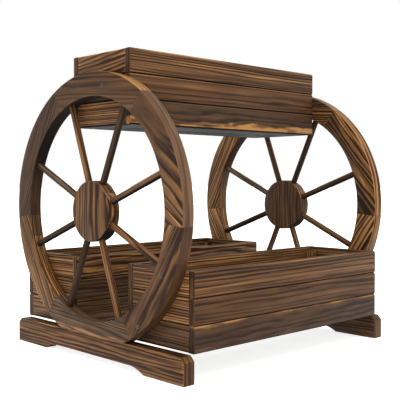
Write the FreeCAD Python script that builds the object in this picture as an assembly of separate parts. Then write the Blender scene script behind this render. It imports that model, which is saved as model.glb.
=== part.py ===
import FreeCAD, Part
import math
import os

Vec = FreeCAD.Vector

# Flower cart stand. Two wheel-shaped end frames carry three plank boxes between them.
# X runs along the boxes, Y from front (-) to back (+), Z up.
# The origin is the centre of the footprint, on the ground. All sizes are millimetres.

# End frames
overall_length = 720.0          # over the outer faces of the two end frames
frame_thickness = 32.0          # felloes, hub and foot beam are flush
beam_length = 640.0
beam_height = 60.0
beam_chamfer = 12.0             # top corners of the beam
foot_length = 128.0             # each foot left under the beam
arch_height = 13.5              # clearance under the beam between the feet
arch_sweep = 52.0               # length of the curve that rises to the arch

rim_outer_radius = 318.0
rim_width = 57.0                # radial width of a felloe
rim_flat_depth = 25.0           # sawn off the rim where it stands on the beam
seam_angles = (-5.0, 55.0, 118.0, 185.0, 236.0, 297.0)  # degrees above the horizontal, from the front
rim_dowel_diameter = 8.0
rim_dowel_length = 34.0
rim_dowel_spacing = 16.0        # between the two dowels of a seam
rim_dowel_shift = 4.0           # of the pair, outwards from the middle of the rim, clear of the spokes
hub_radius = 71.0
hub_drop = 5.0                  # hub centre below the rim centre
spoke_count = 8
spoke_diameter = 16.0
spoke_seat = 14.0               # depth of a spoke's hole in the rim
hub_seat = 25.0                 # depth of a spoke's hole in the hub
spoke_turn = -2.2               # degrees, of the whole set from its upright place

# Boxes
plank_width = 57.0
planks_per_wall = 3
plank_thickness = 18.0
groove_chamfer = 3.0            # outer long edges of a plank
box_depth = 220.0               # front to back, outside
lower_box_clearance = 2.0       # under a lower box, above the top of the beams
upper_box_rise = 47.0           # of the upper box's edge above the top of the rims
post_size = 22.0
post_headroom = 12.0            # of the plank edges above the posts
floor_thickness = 9.0
drain_diameter = 14.0
drain_count = 5
drain_pitch = 110.0

# Screws
fit_clearance = 0.1             # round a screw, dowel or spoke in its hole
frame_screw = {"length": 46.0, "shank": 5.0, "head": 9.5}
beam_screw = {"length": 68.0, "shank": 5.0, "head": 9.5}
box_screw = {"length": 34.0, "shank": 4.0, "head": 8.0}
floor_screw = {"length": 30.0, "shank": 4.0, "head": 8.0}
screw_stagger = 8.0             # between the two screws at a plank's corner, each side of its middle
floor_screw_offset = 5.5        # from a post's axis, clear of the screws that cross it
beam_screw_spread = 120.0
upper_screw_angle = 9.5         # degrees each side of the top of the rim
upper_screw_inset = 25.0        # from the rim's inner edge
lower_screw_inset = 43.0
side_screw_inset = 21.0
front_screw_heights = (41.0, 158.0)   # above the underside of the front box
back_screw_heights = (60.0, 158.0)    # above the underside of the back box

# Sizes that follow from these
rim_inner_radius = rim_outer_radius - rim_width
wheel_height = beam_height + rim_outer_radius - rim_flat_depth
hub_height = wheel_height - hub_drop
frame_outer = -overall_length / 2.0
frame_inner = frame_outer + frame_thickness
frame_middle = frame_outer + frame_thickness / 2.0
box_length = overall_length - 2.0 * frame_thickness
box_height = plank_width * planks_per_wall
lower_box_bottom = beam_height + lower_box_clearance
upper_box_bottom = wheel_height + rim_outer_radius + upper_box_rise - box_height
lower_box_offset = (beam_length - box_depth) / 2.0


def block(x0, x1, y0, y1, z0, z1):
    return Part.makeBox(x1 - x0, y1 - y0, z1 - z0, Vec(x0, y0, z0))


def rod(start, end, radius):
    along = end.sub(start)
    return Part.makeCylinder(radius, along.Length, start, along)


def wheel_point(angle, radius, height=wheel_height, x=frame_middle):
    turn = math.radians(angle)
    return Vec(x, -radius * math.cos(turn), height + radius * math.sin(turn))


def screw_at(size, head, direction, grow=0.0):
    """A countersunk wood screw whose head is flush at the given point; grow makes its hole."""
    shank = size["shank"] / 2.0 + grow
    wide = size["head"] / 2.0 + grow
    neck = (size["head"] - size["shank"]) / 2.0
    tip = size["length"] - size["shank"]
    profile = [Vec(0, 0, 0), Vec(wide, 0, 0), Vec(shank, 0, neck), Vec(shank, 0, tip)]
    profile += [Vec(0, 0, size["length"] + grow), Vec(0, 0, 0)]
    body = Part.Face(Part.makePolygon(profile)).revolve(Vec(0, 0, 0), Vec(0, 0, 1), 360)
    if grow == 0.0:
        arm, slot, depth = size["head"] * 0.3, size["head"] * 0.07, neck * 0.8
        for a, b in ((arm, slot), (slot, arm)):
            body = body.cut(block(-a, a, -b, b, 0, depth))
    body.Placement = FreeCAD.Placement(head, FreeCAD.Rotation(Vec(0, 0, 1), direction))
    return body


def holes_cut(solid, cutters):
    return solid.cut(cutters) if cutters else solid


# ---- Places of the screws -------------------------------------------------------------

def rim_place(height, inset, side):
    """The point of the rim at this height, inset from its inner edge, on side -1 or +1 of Y."""
    radius = rim_inner_radius + inset
    reach = math.sqrt(radius ** 2 - (wheel_height - height) ** 2)
    return Vec(frame_outer, side * reach, height)


def frame_screw_heads():
    heads = []
    for angle in (90.0 - upper_screw_angle, 90.0 + upper_screw_angle):
        heads.append(wheel_point(angle, rim_inner_radius + upper_screw_inset, x=frame_outer))
    for side, heights in ((-1, front_screw_heights), (1, back_screw_heights)):
        for height, inset in zip(heights, (lower_screw_inset, side_screw_inset)):
            heads.append(rim_place(lower_box_bottom + height, inset, side))
    return heads


def beam_screw_heads():
    return [Vec(frame_middle, side * beam_screw_spread / 2.0, arch_height) for side in (-1, 1)]


# ---- End frame ------------------------------------------------------------------------

def foot_beam():
    end, top = beam_length / 2.0, beam_height
    toe = end - foot_length
    crown = toe - arch_sweep
    bend = (arch_sweep ** 2 + arch_height ** 2) / (2.0 * arch_height)
    half_turn = math.asin(arch_sweep / bend) / 2.0
    middle_y = crown + bend * math.sin(half_turn)
    middle_z = arch_height - bend * (1.0 - math.cos(half_turn))

    def at(y, z):
        return Vec(frame_outer, y, z)

    def line(a, b):
        return Part.LineSegment(a, b).toShape()

    corners = [at(-toe, 0), at(-end, 0), at(-end, top - beam_chamfer), at(-end + beam_chamfer, top)]
    corners += [at(end - beam_chamfer, top), at(end, top - beam_chamfer), at(end, 0), at(toe, 0)]
    edges = [line(a, b) for a, b in zip(corners, corners[1:])]
    edges.append(Part.Arc(at(toe, 0), at(middle_y, middle_z), at(crown, arch_height)).toShape())
    edges.append(line(at(crown, arch_height), at(-crown, arch_height)))
    edges.append(Part.Arc(at(-crown, arch_height), at(-middle_y, middle_z), at(-toe, 0)).toShape())
    beam = Part.Face(Part.Wire(edges)).extrude(Vec(frame_thickness, 0, 0))
    return holes_cut(beam, [screw_at(beam_screw, p, Vec(0, 0, 1), fit_clearance)
                            for p in beam_screw_heads()])


def spoke_span(angle):
    """Start and end of a spoke, from the bottom of its hole in the hub to that of its hole in the rim."""
    rise = math.sin(math.radians(angle))
    reach = rim_inner_radius + spoke_seat
    length = hub_drop * rise + math.sqrt(reach ** 2 - hub_drop ** 2 * (1.0 - rise ** 2))
    return wheel_point(angle, hub_radius - hub_seat, hub_height), wheel_point(angle, length, hub_height)


spoke_angles = [360.0 * (k + 0.5) / spoke_count + spoke_turn for k in range(spoke_count)]


def spokes(grow=0.0):
    return [rod(*spoke_span(angle), spoke_diameter / 2.0 + grow) for angle in spoke_angles]


def rim_dowels(grow=0.0):
    dowels = []
    for angle in seam_angles:
        turn = math.radians(angle)
        tangent = Vec(0, math.sin(turn), math.cos(turn))
        for side in (-0.5, 0.5):
            radius = rim_inner_radius + rim_width / 2.0 + rim_dowel_shift + side * rim_dowel_spacing
            middle = wheel_point(angle, radius)
            half = tangent * (rim_dowel_length / 2.0)
            dowels.append(rod(middle.sub(half), middle.add(half), rim_dowel_diameter / 2.0 + grow))
    return dowels


def rim():
    across = Vec(1, 0, 0)
    centre = Vec(frame_outer, 0, wheel_height)
    ring = Part.makeCylinder(rim_outer_radius, frame_thickness, centre, across)
    ring = ring.cut(Part.makeCylinder(rim_inner_radius, frame_thickness, centre, across))
    below = block(frame_outer, frame_inner, -rim_outer_radius, rim_outer_radius, 0, beam_height)
    cutters = [below] + rim_dowels(fit_clearance) + spokes(fit_clearance)
    cutters += [screw_at(frame_screw, p, across, fit_clearance) for p in frame_screw_heads()]
    cutters += [screw_at(beam_screw, p, Vec(0, 0, 1), fit_clearance) for p in beam_screw_heads()]
    return ring.cut(cutters)


def felloes():
    ring = rim()
    pieces = []
    for start, end in zip(seam_angles, seam_angles[1:] + (seam_angles[0] + 360.0,)):
        reach = 1.2 * rim_outer_radius / math.cos(math.radians(end - start) / 2.0)
        corners = [wheel_point(start, 0, x=frame_outer), wheel_point(start, reach, x=frame_outer)]
        corners += [wheel_point(end, reach, x=frame_outer), wheel_point(start, 0, x=frame_outer)]
        wedge = Part.Face(Part.makePolygon(corners)).extrude(Vec(frame_thickness, 0, 0))
        pieces.append(ring.common(wedge).Solids[0])
    return pieces


def hub():
    """One thick disc with a hole for each spoke in its round edge."""
    disc = Part.makeCylinder(hub_radius, frame_thickness, Vec(frame_outer, 0, hub_height), Vec(1, 0, 0))
    return disc.cut(spokes(fit_clearance))


def end_frame():
    """Every piece of the end frame at -X, by name."""
    pieces = {"foot_beam": foot_beam(), "hub": hub(), "rim_dowels": Part.makeCompound(rim_dowels())}
    for number, felloe in enumerate(felloes(), 1):
        pieces["felloe_%d" % number] = felloe
    for number, spoke in enumerate(spokes(), 1):
        pieces["spoke_%d" % number] = spoke
    return pieces


# ---- Boxes ----------------------------------------------------------------------------

def wall(length, half_span, turn, centre, cutters):
    """Planks one above the other; turn is the way that their outer side faces, 0 being -Y."""
    c, t, w = groove_chamfer, plank_thickness, plank_width
    planks = []
    for row in range(planks_per_wall):
        section = [(0, c), (c, 0), (t, 0), (t, w), (c, w), (0, w - c), (0, c)]
        points = [Vec(-length / 2.0, y - half_span, z + row * w) for y, z in section]
        plank = Part.Face(Part.makePolygon(points)).extrude(Vec(length, 0, 0))
        plank.Placement = FreeCAD.Placement(centre, FreeCAD.Rotation(Vec(0, 0, 1), turn))
        planks.append(holes_cut(plank, cutters).Solids[0])
    return Part.makeCompound(planks)


def corner_posts(centre):
    """The axis of each corner post, at the top of the floor."""
    across = box_length / 2.0 - plank_thickness - post_size / 2.0
    deep = box_depth / 2.0 - plank_thickness - post_size / 2.0
    lift = Vec(0, 0, floor_thickness)
    return [(sx, sy, centre.add(Vec(sx * across, sy * deep, 0)).add(lift))
            for sx in (-1, 1) for sy in (-1, 1)]


def post_screws(centre, grow=0.0):
    """Screws from inside through the posts, one into each plank that meets a post."""
    screws = []
    for sx, sy, foot in corner_posts(centre):
        for row in range(planks_per_wall):
            middle = centre.z + (row + 0.5) * plank_width
            for way, rise in ((Vec(0, sy, 0), screw_stagger), (Vec(sx, 0, 0), -screw_stagger)):
                face = Vec(foot.x, foot.y, middle + rise).sub(way * (post_size / 2.0))
                screws.append(screw_at(box_screw, face, way, grow))
    return screws


def floor_screws(centre, grow=0.0):
    """Screws from below through the floor into the posts."""
    heads = [Vec(foot.x - sx * floor_screw_offset, foot.y - sy * floor_screw_offset, centre.z)
             for sx, sy, foot in corner_posts(centre)]
    return [screw_at(floor_screw, head, Vec(0, 0, 1), grow) for head in heads]


def box_floor(centre, cutters):
    across = box_length / 2.0 - plank_thickness
    deep = box_depth / 2.0 - plank_thickness
    floor = block(-across, across, -deep, deep, 0, floor_thickness)
    floor.translate(centre)
    drains = []
    for k in range(drain_count):
        x = (k - (drain_count - 1) / 2.0) * drain_pitch
        drains.append(rod(centre.add(Vec(x, 0, 0)), centre.add(Vec(x, 0, floor_thickness)),
                          drain_diameter / 2.0))
    return floor.cut(drains + cutters)


def plant_box(centre, frame_holes):
    """Every piece of one box, by name; centre is the middle of its underside."""
    into_posts = post_screws(centre, fit_clearance)
    into_floor = floor_screws(centre, fit_clearance)
    end_width = box_depth - 2.0 * plank_thickness
    across, deep = box_length / 2.0, box_depth / 2.0
    cutters = into_posts + frame_holes
    pieces = {
        "front_planks": wall(box_length, deep, 0, centre, into_posts),
        "back_planks": wall(box_length, deep, 180, centre, into_posts),
        "left_end_planks": wall(end_width, across, -90, centre, cutters),
        "right_end_planks": wall(end_width, across, 90, centre, cutters),
        "floor": box_floor(centre, into_floor),
    }
    half, height = post_size / 2.0, box_height - floor_thickness - post_headroom
    posts = []
    for sx, sy, foot in corner_posts(centre):
        post = block(-half, half, -half, half, 0, height)
        post.translate(foot)
        posts.append(post.cut(into_posts + into_floor))
    pieces["corner_posts"] = Part.makeCompound(posts)
    return pieces


# ---- The whole stand ------------------------------------------------------------------

def other_side(shape):
    return shape.mirror(Vec(0, 0, 0), Vec(1, 0, 0))


nodes = {}
for piece, shape in end_frame().items():
    nodes["left_" + piece] = shape
    nodes["right_" + piece] = other_side(shape)

left_frame_screws = [screw_at(frame_screw, p, Vec(1, 0, 0)) for p in frame_screw_heads()]
left_frame_holes = [screw_at(frame_screw, p, Vec(1, 0, 0), fit_clearance) for p in frame_screw_heads()]
frame_holes = left_frame_holes + [other_side(hole) for hole in left_frame_holes]

box_centres = {
    "front_box": Vec(0, -lower_box_offset, lower_box_bottom),
    "back_box": Vec(0, lower_box_offset, lower_box_bottom),
    "upper_box": Vec(0, 0, upper_box_bottom),
}
box_screws = []
for box, centre in box_centres.items():
    for piece, shape in plant_box(centre, frame_holes).items():
        nodes["%s_%s" % (box, piece)] = shape
    box_screws += post_screws(centre) + floor_screws(centre)

left_beam_screws = [screw_at(beam_screw, p, Vec(0, 0, 1)) for p in beam_screw_heads()]
for name, left in (("frame_screws", left_frame_screws), ("beam_screws", left_beam_screws)):
    nodes[name] = Part.makeCompound(left + [other_side(piece) for piece in left])
nodes["box_screws"] = Part.makeCompound(box_screws)

os.makedirs("parts", exist_ok=True)
for name, shape in nodes.items():
    if not shape.isValid():
        raise ValueError("%s is not a valid shape" % name)
    shape.exportStep("parts/%s.step" % name)

solids = [solid for shape in nodes.values() for solid in shape.Solids]
whole = Part.makeCompound(solids).BoundBox
print("%d nodes, %d solids, %.1f x %.1f x %.1f mm" %
      (len(nodes), len(solids), whole.XLength, whole.YLength, whole.ZLength))
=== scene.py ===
import math
import random
import bpy
from mathutils import Matrix, Vector


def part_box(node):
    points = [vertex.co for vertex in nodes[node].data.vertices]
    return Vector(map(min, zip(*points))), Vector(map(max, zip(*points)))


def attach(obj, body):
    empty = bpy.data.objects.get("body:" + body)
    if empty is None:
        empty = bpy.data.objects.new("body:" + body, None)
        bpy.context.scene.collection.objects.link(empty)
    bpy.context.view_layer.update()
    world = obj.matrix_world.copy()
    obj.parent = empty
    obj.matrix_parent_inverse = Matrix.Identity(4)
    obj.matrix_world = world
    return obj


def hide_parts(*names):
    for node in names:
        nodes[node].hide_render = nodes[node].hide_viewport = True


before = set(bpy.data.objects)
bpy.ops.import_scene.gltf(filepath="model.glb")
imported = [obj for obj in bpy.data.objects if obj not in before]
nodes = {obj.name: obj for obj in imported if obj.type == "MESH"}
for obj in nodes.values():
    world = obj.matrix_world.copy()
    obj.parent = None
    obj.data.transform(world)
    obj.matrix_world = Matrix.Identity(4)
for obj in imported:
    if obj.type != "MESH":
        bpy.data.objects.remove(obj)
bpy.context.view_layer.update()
random.seed(7)


# Small helpers

hair = 0.0001  # metres: places closer than this count as the same
mergeWithin = 0.00001
edgeAngle, smoothAngle = 32.0, 38.0  # degrees: sharper edges are rounded, and kept sharp in the shading


def deselectAll():
    if bpy.context.object and bpy.context.object.mode != "OBJECT":
        bpy.ops.object.mode_set(mode="OBJECT")
    bpy.ops.object.select_all(action="DESELECT")


def makeActive(piece):
    deselectAll()
    piece.select_set(True)
    bpy.context.view_layer.objects.active = piece


def editMode():
    bpy.ops.object.mode_set(mode="EDIT")


def objectMode():
    bpy.ops.object.mode_set(mode="OBJECT")


def selectWhere(piece, vertexTest=None, edgeTest=None):  # leaves edit mode on, with what passes selected
    editMode()
    bpy.ops.mesh.select_mode(type="EDGE" if edgeTest else "VERT")
    bpy.ops.mesh.select_all(action="DESELECT")
    objectMode()
    mesh = piece.data
    if edgeTest:
        for edge in mesh.edges:
            a, b = (mesh.vertices[i].co for i in edge.vertices)
            edge.select = edgeTest(a, b)
    else:
        for vertex in mesh.vertices:
            vertex.select = vertexTest(vertex.co)
    editMode()


def applyModifier(piece, kind, **settings):
    modifier = piece.modifiers.new(kind.title(), kind)
    for name, value in settings.items():
        setattr(modifier, name, value)
    makeActive(piece)
    bpy.ops.object.modifier_apply(modifier=modifier.name)


def smoothShading(piece):
    makeActive(piece)
    bpy.ops.object.shade_smooth_by_angle(angle=math.radians(smoothAngle))


def roundEdges(piece, width, segments=2):
    applyModifier(piece, "BEVEL", width=width, segments=segments, limit_method="ANGLE",
                  angle_limit=math.radians(edgeAngle), harden_normals=False)
    smoothShading(piece)


def outwardNormals(piece):
    makeActive(piece)
    editMode()
    bpy.ops.mesh.select_all(action="SELECT")
    bpy.ops.mesh.remove_doubles(threshold=mergeWithin)
    bpy.ops.mesh.normals_make_consistent(inside=False)
    objectMode()


def copyOf(piece, name):
    twin = bpy.data.objects.new(name, piece.data.copy())
    bpy.context.scene.collection.objects.link(twin)
    return twin


# Camera, floor and light

# where the photo was taken from: picture and focal length in pixels, sensor in millimetres, places in
# metres, turns in degrees
photo = {"size": 400, "focal": 761.7, "sensor": 36.0, "near": 0.05, "far": 60.0,
         "x": -1.3955, "y": -1.4504, "z": 0.4232, "yaw": 43.75, "pitch": 1.58}


def makeCamera():
    data = bpy.data.cameras.new("camera")
    data.sensor_width = photo["sensor"]
    data.lens = photo["focal"] / photo["size"] * photo["sensor"]
    data.clip_start, data.clip_end = photo["near"], photo["far"]
    camera = bpy.data.objects.new("camera", data)
    bpy.context.scene.collection.objects.link(camera)
    camera.location = (photo["x"], photo["y"], photo["z"])
    camera.rotation_euler = (math.radians(90.0 - photo["pitch"]), 0, -math.radians(photo["yaw"]))
    bpy.context.scene.camera = camera


def toLinear(code):  # "#rrggbb" in sRGB to the linear values that a shader takes
    values = [int(code[i:i + 2], 16) / 255 for i in (1, 3, 5)]
    return tuple(v / 12.92 if v <= 0.04045 else ((v + 0.055) / 1.055) ** 2.4 for v in values) + (1.0,)


def addNode(tree, kind, settings=None, **inputs):  # i0, i1 ... name an input by its place
    node = tree.nodes.new(kind)
    for name, value in (settings or {}).items():
        if name != "stops":
            setattr(node, name, value)
    for number, (place, value) in enumerate((settings or {}).get("stops", ())):  # of a colour ramp
        ramp = node.color_ramp
        if number == 0:
            ramp.elements.remove(ramp.elements[1])
        element = ramp.elements[0] if number == 0 else ramp.elements.new(place)
        element.position = place
        element.color = toLinear(value) if isinstance(value, str) else (value, value, value, 1.0)
    for name, value in inputs.items():
        key = int(name[1:]) if name[0] == "i" and name[1:].isdigit() else name.replace("_", " ")
        if isinstance(value, bpy.types.NodeSocket):
            tree.links.new(value, node.inputs[key])
        else:
            node.inputs[key].default_value = value
    return node


def newMaterial(name):
    material = bpy.data.materials.new(name)
    material.use_nodes = True
    material.node_tree.nodes.clear()
    return material, material.node_tree


# A white sweep that fills in the shade, and one broad lamp high up in front
studio = {"floor": "#e6e6e5", "floorGlow": 1.0, "floorRoughness": 0.9, "floorSize": 60.0,
          "world": "#ffffff", "worldStrength": 1.0}
lamp = {"towards": (-0.15, -0.42, 0.90), "strength": 1.5, "angle": 28.0, "tint": "#fff4e4"}


def makeStudio():
    deselectAll()
    bpy.ops.mesh.primitive_plane_add(size=studio["floorSize"], location=(0, 0, 0))
    floor = bpy.context.object
    floor.name = "studioFloor"
    material, tree = newMaterial("studioFloorPaint")
    shader = addNode(tree, "ShaderNodeBsdfPrincipled", None, Base_Color=toLinear(studio["floor"]),
                     Roughness=studio["floorRoughness"], Emission_Color=toLinear(studio["floor"]),
                     Emission_Strength=studio["floorGlow"])
    addNode(tree, "ShaderNodeOutputMaterial", None, Surface=shader.outputs[0])
    floor.data.materials.append(material)
    world = bpy.data.worlds.new("studioWorld")
    bpy.context.scene.world = world
    world.use_nodes = True
    background = world.node_tree.nodes["Background"]
    background.inputs["Color"].default_value = toLinear(studio["world"])
    background.inputs["Strength"].default_value = studio["worldStrength"]
    data = bpy.data.lights.new("keyLamp", "SUN")
    data.energy, data.angle = lamp["strength"], math.radians(lamp["angle"])
    data.color = toLinear(lamp["tint"])[:3]
    keyLamp = bpy.data.objects.new("keyLamp", data)
    keyLamp.rotation_euler = (-Vector(lamp["towards"])).to_track_quat("-Z", "Y").to_euler()
    bpy.context.scene.collection.objects.link(keyLamp)
    bpy.context.scene.view_settings.view_transform = "Standard"


makeCamera()
makeStudio()
print("camera and studio ready")


# Materials

# Fir, scorched with a flame, brushed and stained: the soft spring wood is burnt to dark lines, the
# hard summer wood between them stays warm brown, and it is nearly matt.
fir = {
    # sizes along and across the grain in metres, and detail
    "noises": {"stray": (0.20, 0.030, 2.0), "streak": (0.30, 0.0035, 2.0), "fibre": (0.030, 0.0008, 3.0),
               "burn": (0.09, 0.016, 3.0), "ragged": (0.060, 0.020, 2.0)},
    "strayRings": 2.2,  # how many rings a line can stray
    "unevenRings": 2.0,  # how much the rings differ in width
    "unevenScale": 0.45,  # how quickly that changes from ring to ring
    "faintest": 0.3,  # weight of the faintest ring, beside 1 for the boldest
    # a ring from its hard edge to its burnt edge
    "ring": [(0.0, 0.25), (0.10, 0.0), (0.45, 0.12), (0.66, 0.55), (0.80, 1.0), (0.90, 0.95), (1.0, 0.25)],
    "ringDepth": 0.85, "fibreDepth": 0.45, "burnDepth": 0.65,  # how strongly each shows
    "grainMiddle": 0.50, "noiseMiddle": 0.5,  # taken off, so that the rest varies round nought
    "endCalm": 0.4, "endDark": 0.16,  # contrast and shade that end grain loses
    "raggedEdge": 0.018, "bandFrom": -0.001, "bandTo": 0.004,  # metres that a band's edge wanders and fades
    "patchFrom": 0.36, "patchTo": 0.54, "patchLeast": 0.30,  # a band is weak where the burn is deep
    "bandWarmth": 1.5,  # how fast a pale band loses the greyness
    "colours": [(0.0, "#251409"), (0.25, "#3c2714"), (0.5, "#55381e"), (0.75, "#704c29"),
                (0.9, "#875d32"), (1.0, "#a2733f")],
    "greys": [(0.0, "#251910"), (0.25, "#3c2b1c"), (0.5, "#4e3a2a"), (0.75, "#66503e"), (1.0, "#826852")],
    # near black of the painted shade on faces that look down
    "paintedShade": "#070402",
    "burntRoughness": 0.66, "bareRoughness": 0.46, "gloss": 0.15, "ior": 1.5,
    "relief": 0.0004, "ringRelief": 0.8, "bump": 0.7,
}


def makeFir():
    material, tree = newMaterial("scorchedFir")
    place, tone, band = (addNode(tree, "ShaderNodeAttribute", {"attribute_name": name}).outputs["Vector"]
                         for name in ("grainPlace", "boardTone", "boardBand"))
    endGrain, paintedShadeAmount = (addNode(tree, "ShaderNodeAttribute", {"attribute_name": name}).outputs["Fac"]
                       for name in ("endGrain", "paintedShadeAmount"))
    shade, contrast, greyness = addNode(tree, "ShaderNodeSeparateXYZ", None, i0=tone).outputs
    bandDepth, bandStrength, ringWidth = addNode(tree, "ShaderNodeSeparateXYZ", None, i0=band).outputs
    noises = {}
    for label, (along, across, detail) in fir["noises"].items():
        spread = addNode(tree, "ShaderNodeMapping", None, Vector=place,
                         Scale=(1 / along, 1 / across, 1 / across)).outputs[0]
        noises[label] = addNode(tree, "ShaderNodeTexNoise", {"noise_dimensions": "3D"}, Vector=spread,
                                Scale=1.0, Detail=detail).outputs["Fac"]
    # year rings, counted outwards from the pith, which lies along the board's own X
    across = addNode(tree, "ShaderNodeVectorMath", {"operation": "MULTIPLY"}, i0=place,
                     i1=(0, 1, 1)).outputs[0]
    radius = addNode(tree, "ShaderNodeVectorMath", {"operation": "LENGTH"}, i0=across).outputs["Value"]
    years = addNode(tree, "ShaderNodeMath", {"operation": "DIVIDE"}, i0=radius, i1=ringWidth).outputs[0]
    strayed = addNode(tree, "ShaderNodeMath", {"operation": "MULTIPLY_ADD"}, i0=noises["stray"],
                      i1=fir["strayRings"], i2=years).outputs[0]
    uneven = addNode(tree, "ShaderNodeTexNoise", {"noise_dimensions": "1D"}, W=strayed,
                     Scale=fir["unevenScale"], Detail=1.0).outputs["Fac"]
    count = addNode(tree, "ShaderNodeMath", {"operation": "MULTIPLY_ADD"}, i0=uneven,
                    i1=fir["unevenRings"], i2=strayed).outputs[0]
    part = addNode(tree, "ShaderNodeMath", {"operation": "FRACT"}, i0=count).outputs[0]
    year = addNode(tree, "ShaderNodeMath", {"operation": "FLOOR"}, i0=count).outputs[0]
    drawn = addNode(tree, "ShaderNodeTexWhiteNoise", {"noise_dimensions": "1D"}, W=year).outputs["Value"]
    weight = addNode(tree, "ShaderNodeMath", {"operation": "MULTIPLY_ADD"}, i0=drawn,
                     i1=1 - fir["faintest"], i2=fir["faintest"]).outputs[0]
    ring = addNode(tree, "ShaderNodeValToRGB", {"stops": fir["ring"]}, Fac=part).outputs["Color"]
    line = addNode(tree, "ShaderNodeMath", {"operation": "MULTIPLY"}, i0=ring, i1=weight).outputs[0]
    # how bare (1) or burnt (0) the wood is
    grain = addNode(tree, "ShaderNodeMath", {"operation": "MULTIPLY_ADD"}, i0=line,
                    i1=-fir["ringDepth"], i2=-fir["grainMiddle"]).outputs[0]
    grain = addNode(tree, "ShaderNodeMath", {"operation": "ADD"}, i0=noises["streak"], i1=grain).outputs[0]
    grain = addNode(tree, "ShaderNodeMath", {"operation": "MULTIPLY_ADD"}, i0=noises["fibre"],
                    i1=fir["fibreDepth"], i2=grain).outputs[0]
    calm = addNode(tree, "ShaderNodeMath", {"operation": "MULTIPLY_ADD"}, i0=endGrain,
                   i1=-fir["endCalm"], i2=1.0).outputs[0]
    contrast = addNode(tree, "ShaderNodeMath", {"operation": "MULTIPLY"}, i0=contrast, i1=calm).outputs[0]
    level = addNode(tree, "ShaderNodeMath", {"operation": "MULTIPLY_ADD"}, i0=grain, i1=contrast,
                    i2=shade).outputs[0]
    level = addNode(tree, "ShaderNodeMath", {"operation": "MULTIPLY_ADD"}, i0=endGrain,
                    i1=-fir["endDark"], i2=level).outputs[0]
    burn, ragged = (addNode(tree, "ShaderNodeMath", {"operation": "SUBTRACT"}, i0=noises[name],
                            i1=fir["noiseMiddle"]).outputs[0] for name in ("burn", "ragged"))
    level = addNode(tree, "ShaderNodeMath", {"operation": "MULTIPLY_ADD"}, i0=burn,
                    i1=fir["burnDepth"], i2=level).outputs[0]
    # a band of pale sapwood, or of deeper burn, along one edge
    ragged = addNode(tree, "ShaderNodeMath", {"operation": "MULTIPLY"}, i0=ragged,
                     i1=bandStrength).outputs[0]
    depth = addNode(tree, "ShaderNodeMath", {"operation": "MULTIPLY_ADD"}, i0=ragged,
                    i1=2 * fir["raggedEdge"], i2=bandDepth).outputs[0]
    inside = addNode(tree, "ShaderNodeMapRange", {"clamp": True}, Value=depth, From_Min=fir["bandFrom"],
                     From_Max=fir["bandTo"]).outputs[0]
    patchy = addNode(tree, "ShaderNodeMapRange", {"clamp": True}, Value=noises["burn"],
                     From_Min=fir["patchFrom"], From_Max=fir["patchTo"], To_Min=fir["patchLeast"]).outputs[0]
    for factor in (bandStrength, patchy):
        inside = addNode(tree, "ShaderNodeMath", {"operation": "MULTIPLY"}, i0=inside, i1=factor).outputs[0]
    level = addNode(tree, "ShaderNodeMath", {"operation": "ADD", "use_clamp": True}, i0=level,
                    i1=inside).outputs[0]
    colour, greyed = (addNode(tree, "ShaderNodeValToRGB", {"stops": fir[name]}, Fac=level).outputs["Color"]
                      for name in ("colours", "greys"))
    weathered = addNode(tree, "ShaderNodeMath", {"operation": "MULTIPLY_ADD", "use_clamp": True},
                        i0=inside, i1=-fir["bandWarmth"], i2=greyness).outputs[0]
    # greyed where weathered, then painted shade mixed in on faces that look down
    for factor, over in ((weathered, greyed), (paintedShadeAmount, toLinear(fir["paintedShade"]))):
        colour = addNode(tree, "ShaderNodeMix", {"data_type": "RGBA"}, i0=factor, i6=colour,
                         i7=over).outputs[2]
    # brushed: the hard wood stands proud and the fibres are fine scratches
    height = addNode(tree, "ShaderNodeMath", {"operation": "MULTIPLY_ADD"}, i0=line,
                     i1=-fir["ringRelief"], i2=noises["fibre"]).outputs[0]
    bump = addNode(tree, "ShaderNodeBump", None, Strength=fir["bump"], Distance=fir["relief"],
                   Height=height).outputs[0]
    rough = addNode(tree, "ShaderNodeMapRange", {"clamp": True}, Value=level,
                    To_Min=fir["burntRoughness"], To_Max=fir["bareRoughness"]).outputs[0]
    matt = addNode(tree, "ShaderNodeMath", {"operation": "MAXIMUM"}, i0=paintedShadeAmount, i1=rough).outputs[0]
    shader = addNode(tree, "ShaderNodeBsdfPrincipled", None, Base_Color=colour, Roughness=matt,
                     Normal=bump, IOR=fir["ior"], Specular_IOR_Level=fir["gloss"])
    addNode(tree, "ShaderNodeOutputMaterial", None, Surface=shader.outputs[0])
    return material


# Floor board: fir under a thin slate grey paint, flat and matt, with the fibres showing through.
slate = {"fibre": (0.08, 0.002, 4.0), "colours": [(0.3, "#2b2d2e"), (0.7, "#393c3d")], "roughness": 0.75,
         "gloss": 0.1, "relief": 0.0002, "bump": 0.5}


def makeSlate():
    material, tree = newMaterial("slatePaintedBoard")
    place = addNode(tree, "ShaderNodeAttribute", {"attribute_name": "grainPlace"}).outputs["Vector"]
    along, across, detail = slate["fibre"]
    spread = addNode(tree, "ShaderNodeMapping", None, Vector=place,
                     Scale=(1 / along, 1 / across, 1 / across)).outputs[0]
    fibre = addNode(tree, "ShaderNodeTexNoise", {"noise_dimensions": "3D"}, Vector=spread, Scale=1.0,
                    Detail=detail).outputs["Fac"]
    colour = addNode(tree, "ShaderNodeValToRGB", {"stops": slate["colours"]}, Fac=fibre).outputs["Color"]
    bump = addNode(tree, "ShaderNodeBump", None, Strength=slate["bump"], Distance=slate["relief"],
                   Height=fibre).outputs[0]
    shader = addNode(tree, "ShaderNodeBsdfPrincipled", None, Base_Color=colour,
                     Roughness=slate["roughness"], Specular_IOR_Level=slate["gloss"], Normal=bump)
    addNode(tree, "ShaderNodeOutputMaterial", None, Surface=shader.outputs[0])
    return material


# Screws: steel with a blue zinc plating, a soft bluish grey metal with a fine mottle.
zinc = {"spot": 0.0012, "detail": 2.0, "colours": [(0.35, "#343e47"), (0.65, "#4f5b66")], "roughness": 0.42}


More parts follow.
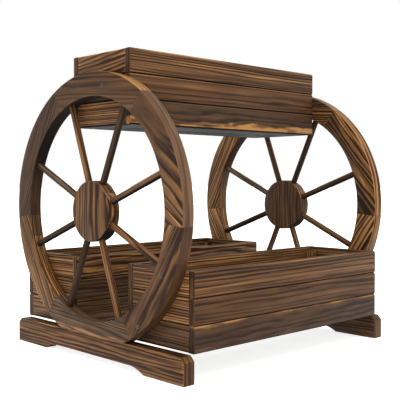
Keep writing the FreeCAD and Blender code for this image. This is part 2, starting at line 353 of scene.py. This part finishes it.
def makeZinc():
    material, tree = newMaterial("blueZincPlate")
    place = addNode(tree, "ShaderNodeTexCoord").outputs["Object"]
    mottle = addNode(tree, "ShaderNodeTexNoise", {"noise_dimensions": "3D"}, Vector=place,
                     Scale=1 / zinc["spot"], Detail=zinc["detail"]).outputs["Fac"]
    colour = addNode(tree, "ShaderNodeValToRGB", {"stops": zinc["colours"]}, Fac=mottle).outputs["Color"]
    shader = addNode(tree, "ShaderNodeBsdfPrincipled", None, Base_Color=colour, Metallic=1.0,
                     Roughness=zinc["roughness"])
    addNode(tree, "ShaderNodeOutputMaterial", None, Surface=shader.outputs[0])
    return material


# Dowels hidden in the joints of the rims: plain beech, pale and even, with short fine flecks.
beech = {"fleck": 0.0015, "detail": 3.0, "colours": [(0.4, "#a97f55"), (0.65, "#8a6240")], "roughness": 0.55,
         "relief": 0.0001, "bump": 0.3}


def makeBeech():
    material, tree = newMaterial("beechDowel")
    place = addNode(tree, "ShaderNodeTexCoord").outputs["Object"]
    fleck = addNode(tree, "ShaderNodeTexNoise", {"noise_dimensions": "3D"}, Vector=place,
                    Scale=1 / beech["fleck"], Detail=beech["detail"]).outputs["Fac"]
    colour = addNode(tree, "ShaderNodeValToRGB", {"stops": beech["colours"]}, Fac=fleck).outputs["Color"]
    bump = addNode(tree, "ShaderNodeBump", None, Strength=beech["bump"], Distance=beech["relief"],
                   Height=fleck).outputs[0]
    shader = addNode(tree, "ShaderNodeBsdfPrincipled", None, Base_Color=colour,
                     Roughness=beech["roughness"], Normal=bump)
    addNode(tree, "ShaderNodeOutputMaterial", None, Surface=shader.outputs[0])
    return material


firBoards = makeFir()
slateBoards = makeSlate()
zincPlate = makeZinc()
beechDowels = makeBeech()
print("materials ready")


# Grain: each board gets its own place in a log, and its own look

# shade from burnt 0 to bare 1, contrast of the grain, greyness, ring width in metres, how it was sawn,
# and for some how much longer, and so straighter, their lines are
looks = {
    "striped": dict(shade=0.35, contrast=1.35, grey=0.04, rings=0.0105, cut="quarter", stretch=2.5),
    "lined": dict(shade=0.34, contrast=1.50, grey=0.15, rings=0.0078, cut="quarter", stretch=2.5),
    "bold": dict(shade=0.42, contrast=1.80, grey=0.00, rings=0.0120, cut="rift"),
    "swept": dict(shade=0.36, contrast=1.00, grey=0.10, rings=0.0150, cut="swept"),
    "fine": dict(shade=0.41, contrast=1.90, grey=0.10, rings=0.0064, cut="quarter", stretch=1.8),
    "wavy": dict(shade=0.44, contrast=1.40, grey=0.05, rings=0.0088, cut="rift"),
    "plain": dict(shade=0.36, contrast=0.55, grey=0.15, rings=0.0120, cut="quarter", stretch=1.8),
    "patchy": dict(shade=0.38, contrast=1.00, grey=0.00, rings=0.0160, cut="flat"),
    "dusky": dict(shade=0.30, contrast=0.85, grey=0.35, rings=0.0080, cut="rift"),
    "burnt": dict(shade=0.23, contrast=0.45, grey=0.75, rings=0.0130, cut="quarter"),
    "ember": dict(shade=0.02, contrast=0.40, grey=0.50, rings=0.0080, cut="rift"),
    "ashen": dict(shade=0.33, contrast=0.90, grey=0.95, rings=0.0090, cut="quarter"),
    "bare": dict(shade=0.60, contrast=1.80, grey=0.05, rings=0.0095, cut="rift"),
    "hub": dict(shade=0.37, contrast=1.40, grey=0.05, rings=0.0105, cut="half"),
}
boardLooks = {  # boards not named here get a look by chance
    "frontBoxFront1": "burnt", "frontBoxFront2": "plain", "frontBoxFront3": "striped",
    "upperBoxFront1": "burnt", "upperBoxFront2": "plain", "upperBoxFront3": "lined",
    "frontBoxLeftEnd1": "dusky", "frontBoxLeftEnd2": "fine", "frontBoxLeftEnd3": "fine",
    "upperBoxLeftEnd1": "fine", "upperBoxLeftEnd2": "ember", "upperBoxLeftEnd3": "wavy",
    "backBoxLeftEnd1": "wavy", "backBoxLeftEnd2": "fine", "backBoxLeftEnd3": "fine",
    "backBoxFront1": "dusky", "backBoxFront2": "dusky", "backBoxFront3": "bold",
    "leftFelloe1": "swept", "leftFelloe2": "plain", "leftFelloe3": "burnt",
    "leftFelloe4": "fine", "leftFelloe5": "ashen", "leftFelloe6": "patchy",
    "rightFelloe1": "bold", "rightFelloe2": "fine", "rightFelloe3": "wavy", "rightFelloe4": "bare",
    "rightFelloe6": "bare",
    "leftHub": "hub", "rightHub": "dusky",
    "leftFootBeam": "wavy", "rightFootBeam": "dusky",
    "leftSpoke1": "dusky", "leftSpoke2": "ember", "leftSpoke3": "striped", "leftSpoke4": "ashen",
    "leftSpoke5": "ember", "leftSpoke6": "ember", "leftSpoke7": "fine", "leftSpoke8": "striped",
    "rightSpoke1": "plain", "rightSpoke2": "ember", "rightSpoke3": "plain", "rightSpoke4": "ashen",
    "rightSpoke5": "ember",
}
bands = {  # along one edge: its side, its depth and its strength, pale above 0 and burnt below
    "frontBoxFront1": (1, 0.0065, 0.50), "frontBoxFront3": (1, 0.016, -0.22),
    "upperBoxFront1": (-1, 0.018, 0.85), "frontBoxLeftEnd2": (-1, 0.018, 0.30),
    "leftFelloe4": (1, 0.028, 0.20), "leftFelloe5": (1, 0.019, 0.42),
    "rightFelloe1": (-1, 0.050, -0.28), "rightFelloe2": (1, 0.042, -0.30),
}
noBand = (1, -1.0, 0.0)
shifts = {  # of the shade
    "frontBoxFront2": -0.04, "frontBoxLeftEnd2": -0.05, "frontBoxLeftEnd3": -0.06, "upperBoxFront3": -0.03,
    "backBoxLeftEnd2": 0.12, "backBoxFront3": 0.05, "leftFelloe4": -0.05, "leftFelloe6": -0.02,
    "rightFelloe2": -0.08, "rightFelloe3": 0.10, "leftHub": -0.02, "leftFootBeam": -0.13,
    "rightFootBeam": -0.06, "leftSpoke4": -0.06, "leftSpoke7": -0.06, "leftSpoke8": -0.10,
    "rightSpoke1": 0.08,
}
leans = {"leftFelloe1": 27.0, "rightFelloe1": 15.0, "upperBoxLeftEnd3": 7.0}  # of the grain, in degrees
fades = {"leftFelloe1": (1.8, -0.3), "leftFelloe6": (0.6, 1.5)}  # contrast at the foot and the top, times
# round the outside of the rim: paler and greyer as a painted highlight and sheen, and contrast, times
roundSheen = {"leftFelloe1": (0.20, 0.75, 0.45), "leftFelloe2": (0.68, 0.0, 1.5),
          "rightFelloe1": (0.32, 0.0, 0.7), "rightFelloe2": (0.50, 0.0, 0.7)}
rimInsideLit = (0.15, 0.0, 1.2)  # the same three for the inside of the rim where it faces up, paler there as painted light
calmRound = 0.45  # contrast on the other round faces, times
edgeWearAndHighlight = {"paler": 0.12, "paintedHighlightOnTop": 0.30}  # what an edge gains: paler all round as wear, and more where it faces up, as a painted highlight
paintedEndHighlights = {"rightFootBeam": 0.35}  # what an end gains, a painted highlight
hubHighlight = {"from": 0.45, "to": 0.85, "paler": 0.50, "greyer": 0.45}  # a painted highlight on the round edge where it faces up
# where the pith lies from the middle of a board, for each way to saw it
piths = {"rift": (0.070, 0.030), "quarter": (0.075, 0.006), "flat": (0.008, 0.045),
         "half": (0.035, 0.025), "swept": (-0.040, 0.050)}
flipped = ("rift", "quarter", "flat")  # cuts that may lie either way up
chance = {"looks": ("striped", "fine", "wavy", "plain", "dusky"), "start": 8, "shade": 0.04, "lean": 0.8,
          "pith": 0.3}
# how far a face looks down before painted shade darkens it, and the same inside the rim
paintedShade = {"from": 0.25, "to": 0.65, "rimFrom": 0.10, "rimTo": 0.50, "rimMost": 0.86, "outerMost": 0.25}
facing = {"round": 0.9, "end": 0.6, "flat": 0.95, "up": 0.3}  # how squarely a face has to look that way
layerKinds = {"grainPlace": ("FLOAT_VECTOR", "CORNER"), "boardTone": ("FLOAT_VECTOR", "CORNER"),
              "boardBand": ("FLOAT_VECTOR", "CORNER"), "endGrain": ("FLOAT", "FACE"),
              "paintedShadeAmount": ("FLOAT", "FACE")}


def faceToneAndHighlights(name, normal, curve, isEnd, isFlat):  # paler, greyer, and contrast, times; paler holds wear and painted highlights
    isRound = abs(curve) > facing["round"]
    paler, greyer, calmer = 0.0, 0.0, calmRound if isRound else 1.0
    if isEnd:
        paler = paintedEndHighlights.get(name, 0.0)
    if curve > facing["round"]:
        paler, greyer, calmer = roundSheen.get(name, (0.0, 0.0, calmRound))
    elif isRound and normal.z > facing["up"]:
        paler, greyer, calmer = rimInsideLit
    if not isFlat and not isRound:
        highlightedEdge = normal.z > facing["up"] or name.endswith("Beam")
        paler = edgeWearAndHighlight["paintedHighlightOnTop" if highlightedEdge else "paler"]
    if name.endswith("Hub") and hubHighlight["from"] < normal.z < hubHighlight["to"]:
        paler, greyer = hubHighlight["paler"], hubHighlight["greyer"]
    return paler, greyer, calmer


def facePaintedShade(normal, curve):  # 1 where painted shade darkens the face fully, by how far it looks down
    down = (-normal.z - paintedShade["from"]) / (paintedShade["to"] - paintedShade["from"])
    if curve < -facing["round"]:
        down = (-normal.z - paintedShade["rimFrom"]) / (paintedShade["rimTo"] - paintedShade["rimFrom"]) * paintedShade["rimMost"]
        down = min(down, paintedShade["rimMost"])
    elif curve > facing["round"]:
        down = min(down, paintedShade["outerMost"])
    return min(1.0, max(0.0, down))


def setGrain(piece, along, up, centre=None):  # centre of the wheel, where the piece is a felloe
    drawn, side = random.choice(chance["looks"]), random.choice((-1, 1))
    start = random.uniform(0, chance["start"])
    drift, bend, reach = (random.uniform(-1, 1) for k in range(3))
    look = looks[boardLooks.get(piece.name, drawn)]
    shade = look["shade"] + chance["shade"] * drift + shifts.get(piece.name, 0.0)
    lean = math.radians(leans.get(piece.name, chance["lean"] * bend))
    along, up = Vector(along).normalized(), Vector(up).normalized()
    through = along.cross(up)
    grain = along * math.cos(lean) + up * math.sin(lean)
    across = up * math.cos(lean) - along * math.sin(lean)
    pithUp, pithThrough = (value * (1 + chance["pith"] * reach) for value in piths[look["cut"]])
    pithUp *= side if look["cut"] in flipped else 1
    mesh = piece.data
    heights = [vertex.co.dot(up) for vertex in mesh.vertices]
    low = Vector([min(vertex.co[k] for vertex in mesh.vertices) for k in range(3)])
    high = Vector([max(vertex.co[k] for vertex in mesh.vertices) for k in range(3)])
    middle = (low + high) / 2
    edge, bandDepth, bandStrength = bands.get(piece.name, noBand)
    edgeHeight = max(heights) if edge > 0 else min(heights)
    fadeLow, fadeHigh = fades.get(piece.name, (1.0, 1.0))
    for name, (kind, domain) in layerKinds.items():
        mesh.attributes.new(name, kind, domain)
    layers = {name: mesh.attributes[name].data for name in layerKinds}
    for face in mesh.polygons:
        normal = face.normal
        outwards = ((face.center - centre) * Vector((0, 1, 1))).normalized() if centre else Vector()
        curve = normal.dot(outwards)  # 1 on the outside of the rim, -1 on its inside
        isRound = abs(curve) > facing["round"]
        isEnd = abs(normal.dot(along)) > facing["end"] and not isRound
        isFlat = max(abs(normal.dot(way)) for way in (along, up, through)) >= facing["flat"]
        paler, greyer, calmer = faceToneAndHighlights(piece.name, normal, curve, isEnd, isFlat)
        for corner in face.loop_indices:
            number = mesh.loops[corner].vertex_index
            point = mesh.vertices[number].co
            away = point - middle
            if isRound:  # sawn round: the grain seems to run with the curve
                out = point - centre
                arc = math.atan2(out.dot(along), out.dot(up)) * out.dot(outwards)
                place = (arc + start, away.dot(through) + pithUp, pithThrough)
                contrast = look["contrast"] * calmer
            else:
                place = (away.dot(grain) / look.get("stretch", 1.0) + start, away.dot(across) + pithUp,
                         away.dot(through) + pithThrough)
                rise = (point.z - low.z) / (high.z - low.z)
                contrast = look["contrast"] * (fadeLow + (fadeHigh - fadeLow) * rise)
            if isEnd:
                place = (away.dot(up) + start, away.dot(through) + pithUp, pithThrough)
            depth = bandDepth - abs(heights[number] - edgeHeight)
            layers["grainPlace"][corner].vector = place
            layers["boardTone"][corner].vector = (shade + paler, contrast, max(look["grey"], greyer))
            layers["boardBand"][corner].vector = (depth, bandStrength, look["rings"])
        layers["endGrain"][face.index].value = 1.0 if isEnd else 0.0
        # painted shade, by how far the face looks down
        layers["paintedShadeAmount"][face.index].value = facePaintedShade(normal, curve)


def finish(piece, material, nodeName):
    piece.data.materials.clear()
    piece.data.materials.append(material)
    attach(piece, "root")
    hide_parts(nodeName)


# Planks and boxes

plank = {"rows": 3, "groove": 0.003, "edge": 0.0009}
walls = {"Front": ("front_planks", 0), "Back": ("back_planks", 180),
         "LeftEnd": ("left_end_planks", -90), "RightEnd": ("right_end_planks", 90)}
boxes = {"frontBox": "front_box", "backBox": "back_box", "upperBox": "upper_box"}


def makeCuboid(name, size):
    deselectAll()
    bpy.ops.mesh.primitive_cube_add(size=1.0, location=(0, 0, 0))
    piece = bpy.context.object
    piece.name = name
    piece.scale = size
    bpy.ops.object.transform_apply(location=False, rotation=False, scale=True)
    return piece


def makePlank(name, length, thickness, width):  # lies along X with its show face towards -Y
    piece = makeCuboid(name, (length, thickness, width))
    front = -thickness / 2 + hair
    selectWhere(piece, edgeTest=lambda a, b: a.y < front and b.y < front and abs(a.z - b.z) < hair)
    bpy.ops.mesh.bevel(offset=plank["groove"], segments=1)
    objectMode()
    roundEdges(piece, plank["edge"])
    return piece


def makeWall(box, boxNode, side):
    nodeName = "%s_%s" % (boxNode, walls[side][0])
    turn = Matrix.Rotation(math.radians(walls[side][1]), 4, "Z")
    low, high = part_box(nodeName)
    size = high - low
    length, thickness = max(size.x, size.y), min(size.x, size.y)
    width = size.z / plank["rows"]
    along = turn @ Vector((1, 0, 0))
    model = makePlank("model", length, thickness, width)
    for row in range(plank["rows"]):
        piece = copyOf(model, "%s%s%d" % (box, side, row + 1))
        middle = (low + high) / 2
        middle.z = low.z + (row + 0.5) * width
        piece.data.transform(Matrix.Translation(middle) @ turn)
        setGrain(piece, along, (0, 0, 1))
        finish(piece, firBoards, nodeName)
    bpy.data.objects.remove(model)


proud = 0.00015  # how far a flush screw head stands out of the wood round it
post = {"side": 0.022, "edge": 0.001}
floorBoard = {"edge": 0.0008, "flatWithin": 1.0}  # degrees between faces that become one


def makePosts(box, boxNode):
    nodeName = boxNode + "_corner_posts"
    low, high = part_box(nodeName)
    half, drawnSide = post["side"] / 2, post["side"] - 2 * proud
    corners = [(x, y) for x in (low.x + half, high.x - half) for y in (low.y + half, high.y - half)]
    for number, (x, y) in enumerate(corners, 1):
        piece = makeCuboid("%sPost%d" % (box, number), (drawnSide, drawnSide, high.z - low.z))
        piece.data.transform(Matrix.Translation((x, y, (low.z + high.z) / 2)))
        roundEdges(piece, post["edge"])
        setGrain(piece, (0, 0, 1), (0, 1, 0))
        finish(piece, firBoards, nodeName)


def makeFloorBoard(box, boxNode):  # a merged copy of the CAD node with its sharp edges rounded
    nodeName = boxNode + "_floor"
    piece = copyOf(nodes[nodeName], box + "Floor")
    outwardNormals(piece)
    editMode()
    bpy.ops.mesh.select_all(action="SELECT")
    bpy.ops.mesh.dissolve_limited(angle_limit=math.radians(floorBoard["flatWithin"]))
    objectMode()
    roundEdges(piece, floorBoard["edge"])
    setGrain(piece, (1, 0, 0), (0, 1, 0))
    finish(piece, slateBoards, nodeName)


for box, boxNode in boxes.items():
    for side in walls:
        makeWall(box, boxNode, side)
    makePosts(box, boxNode)
    makeFloorBoard(box, boxNode)
print("boxes ready")


# End frames

wheel = {"seams": (-5.0, 55.0, 118.0, 185.0, 236.0, 297.0), "width": 0.057, "stepAngle": 2.0,
         "edge": 0.0012, "edgeSteps": 3}
spoke = {"count": 8, "turn": -2.2, "sides": 40, "edge": 0.0008}
hub = {"sides": 96, "edge": 0.0016, "edgeSteps": 3}
beam = {"foot": 0.128, "sweep": 0.052, "arch": 0.0135, "chamfer": 0.012, "edge": 0.0022, "sweepSteps": 10}


def wheelDirection(angle):  # in the plane of a wheel, from the front, upwards
    turn = math.radians(angle)
    return Vector((0, -math.cos(turn), math.sin(turn)))


def rimMeasures(side):
    boxesOfRim = [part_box("%s_felloe_%d" % (side, k + 1)) for k in range(len(wheel["seams"]))]
    radius = (max(b[1].y for b in boxesOfRim) - min(b[0].y for b in boxesOfRim)) / 2
    top = max(b[1].z for b in boxesOfRim)
    low, high = boxesOfRim[0]
    return Vector(((low.x + high.x) / 2, 0, top - radius)), radius, high.x - low.x


def makeFelloe(name, centre, radius, thickness, start, end, standsOn):
    deselectAll()
    middleRadius = radius - wheel["width"] / 2
    bpy.ops.mesh.primitive_plane_add(size=1.0, location=centre + wheelDirection(start) * middleRadius,
                                     rotation=(-math.radians(start), 0, 0))
    piece = bpy.context.object
    piece.name = name
    piece.scale = (thickness - 2 * proud, wheel["width"], 1)
    bpy.ops.object.transform_apply(location=True, rotation=True, scale=True)
    editMode()
    bpy.ops.mesh.select_all(action="SELECT")
    bpy.ops.mesh.spin(steps=round((end - start) / wheel["stepAngle"]), angle=math.radians(end - start),
                      center=centre, axis=(1, 0, 0))
    objectMode()
    if standsOn is not None:
        editMode()
        bpy.ops.mesh.select_all(action="SELECT")
        bpy.ops.mesh.bisect(plane_co=(0, 0, standsOn), plane_no=(0, 0, 1), use_fill=True, clear_inner=True)
        objectMode()
    outwardNormals(piece)
    inner = radius - wheel["width"]

    def onArc(a, b):  # the joints between felloes stay tight
        reaches = [math.hypot(point.y, point.z - centre.z) for point in (a, b)]
        onCurve = any(max(abs(reach - arc) for reach in reaches) < hair for arc in (inner, radius))
        return onCurve and abs(a.x - b.x) < hair

    selectWhere(piece, edgeTest=onArc)
    bpy.ops.mesh.bevel(offset=wheel["edge"], segments=wheel["edgeSteps"])
    objectMode()
    smoothShading(piece)
    return piece


def makeRim(side):
    centre, radius, thickness = rimMeasures(side)
    seams = wheel["seams"] + (wheel["seams"][0] + 360.0,)
    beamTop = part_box(side + "_foot_beam")[1].z
    for number, (start, end) in enumerate(zip(seams, seams[1:]), 1):
        middle = (start + end) / 2
        lowest = centre.z - radius * max(math.sin(math.radians(-a)) for a in (start, middle, end))
        piece = makeFelloe("%sFelloe%d" % (side, number), centre, radius, thickness, start, end,
                           beamTop if lowest < beamTop else None)
        out = wheelDirection(middle)
        setGrain(piece, Vector((1, 0, 0)).cross(out), out, centre)
        finish(piece, firBoards, "%s_felloe_%d" % (side, number))


def makeSpokes(side):
    for number in range(1, spoke["count"] + 1):
        nodeName = "%s_spoke_%d" % (side, number)
        low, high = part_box(nodeName)
        angle = 360.0 * (number - 0.5) / spoke["count"] + spoke["turn"]
        out = wheelDirection(angle)
        diameter = high.x - low.x
        length = (high.y - low.y - diameter * abs(out.z)) / abs(out.y)
        deselectAll()
        bpy.ops.mesh.primitive_cylinder_add(vertices=spoke["sides"], radius=diameter / 2, depth=length,
                                            location=(low + high) / 2,
                                            rotation=Vector((0, 0, 1)).rotation_difference(out).to_euler())
        piece = bpy.context.object
        piece.name = "%sSpoke%d" % (side, number)
        bpy.ops.object.transform_apply(location=True, rotation=True, scale=True)
        roundEdges(piece, spoke["edge"])
        setGrain(piece, out, (1, 0, 0))
        finish(piece, firBoards, nodeName)


def makeHub(side):
    nodeName = side + "_hub"
    low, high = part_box(nodeName)
    deselectAll()
    bpy.ops.mesh.primitive_cylinder_add(vertices=hub["sides"], radius=(high.z - low.z) / 2,
                                        depth=high.x - low.x, location=(low + high) / 2,
                                        rotation=(0, math.radians(90), 0))
    piece = bpy.context.object
    piece.name = side + "Hub"
    bpy.ops.object.transform_apply(location=True, rotation=True, scale=True)
    roundEdges(piece, hub["edge"], hub["edgeSteps"])
    setGrain(piece, (0, 0, 1), (0, 1, 0))
    finish(piece, firBoards, nodeName)


def makeBeam(side):
    nodeName = side + "_foot_beam"
    low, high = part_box(nodeName)
    end, height = (high.y - low.y) / 2, high.z - low.z
    toe = end - beam["foot"]
    crown = toe - beam["sweep"]
    bend = (beam["sweep"] ** 2 + beam["arch"] ** 2) / (2 * beam["arch"])

    def underside(y):
        past = max(0.0, abs(y) - crown)
        return 0.0 if abs(y) >= toe else beam["arch"] + proud - bend + math.sqrt(bend ** 2 - past ** 2)

    def topside(y):
        return height - max(0.0, abs(y) - (end - beam["chamfer"]))

    curve = [crown + beam["sweep"] * k / beam["sweepSteps"] for k in range(beam["sweepSteps"] + 1)]
    half = [0.0] + curve + [end - beam["chamfer"], end]
    stations = [-y for y in reversed(half)] + half[1:]
    deselectAll()
    bpy.ops.mesh.primitive_plane_add(size=1.0, location=(0, 0, 0))
    piece = bpy.context.object
    piece.name = side + "FootBeam"
    editMode()
    bpy.ops.mesh.delete(type="ONLY_FACE")
    bpy.ops.mesh.select_mode(type="VERT")
    objectMode()
    # one edge of the plane stands up at the first station; the other is thrown away
    selectWhere(piece, vertexTest=lambda co: co.x > 0)
    bpy.ops.mesh.delete(type="VERT")
    objectMode()
    for vertex in piece.data.vertices:
        upper = vertex.co.y > 0
        vertex.co = (low.x, stations[0], topside(stations[0]) if upper else underside(stations[0]))
    for before, after in zip(stations, stations[1:]):
        selectWhere(piece, vertexTest=lambda co: abs(co.y - before) < hair)
        bpy.ops.mesh.select_mode(type="EDGE")
        bpy.ops.mesh.extrude_region_move(TRANSFORM_OT_translate={"value": (0, after - before, 0)})
        objectMode()
        for vertex in piece.data.vertices:
            if vertex.select:
                vertex.co.z = topside(after) if vertex.co.z > height / 2 else underside(after)
    editMode()
    bpy.ops.mesh.select_all(action="SELECT")
    bpy.ops.mesh.extrude_region_move(TRANSFORM_OT_translate={"value": (high.x - low.x, 0, 0)})
    objectMode()
    outwardNormals(piece)
    roundEdges(piece, beam["edge"])
    setGrain(piece, (0, 1, 0), (0, 0, 1))
    finish(piece, firBoards, nodeName)


for side in ("left", "right"):
    makeRim(side)
    makeSpokes(side)
    makeHub(side)
    makeBeam(side)
print("end frames ready")

# the screws and the rim dowels stay as the CAD has them
for name, node in nodes.items():
    ending = name.split("_")[-1]
    if ending in ("screws", "dowels"):
        node.data.materials.clear()
        node.data.materials.append({"screws": zincPlate, "dowels": beechDowels}[ending])
